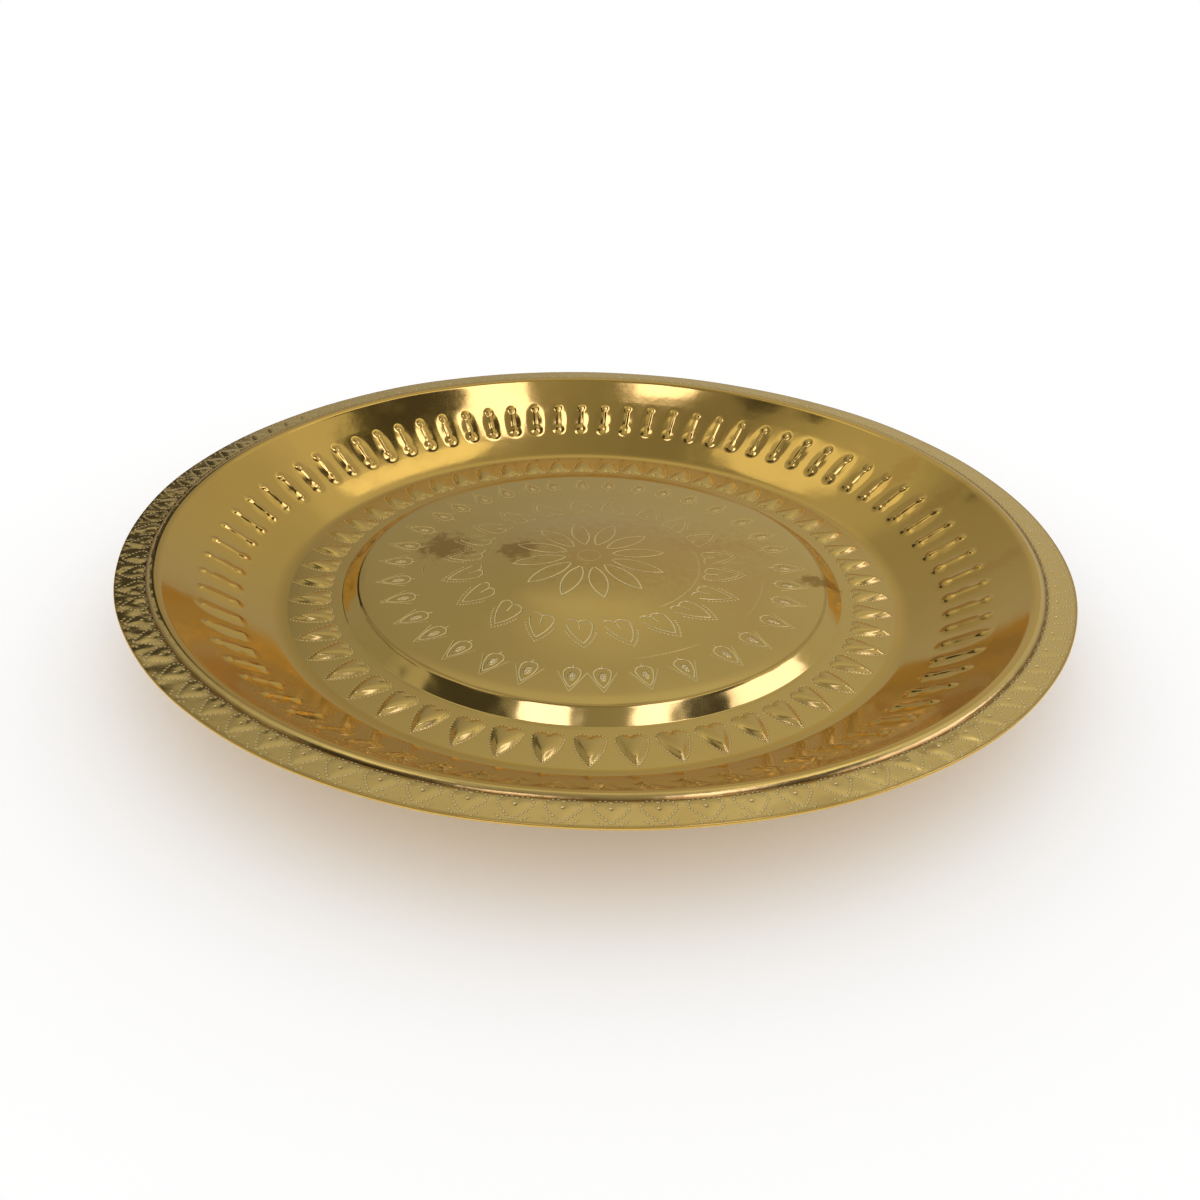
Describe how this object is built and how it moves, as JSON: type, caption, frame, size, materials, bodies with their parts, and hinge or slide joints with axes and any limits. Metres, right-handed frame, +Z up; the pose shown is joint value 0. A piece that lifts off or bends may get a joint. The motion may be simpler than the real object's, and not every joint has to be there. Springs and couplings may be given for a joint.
{
  "type": "thali plate",
  "caption": "Round brass thali plate with a raised engraved centre, a ring of puffed hearts, a fluted sloping wall and a narrow flat rim.",
  "frame": {"origin": "centre of the plate on the table surface, level with the flat ring that the plate rests on", "axes": "+Z up out of the dish along the axis of the plate, +X to the right and -Y towards the viewer of the front"},
  "size_m": [0.305, 0.305, 0.0264],
  "materials": {
    "brass": "polished, lightly tarnished"
  },
  "bodies": {
    "root": {"plate": "brass"}
  },
  "joints": []
}
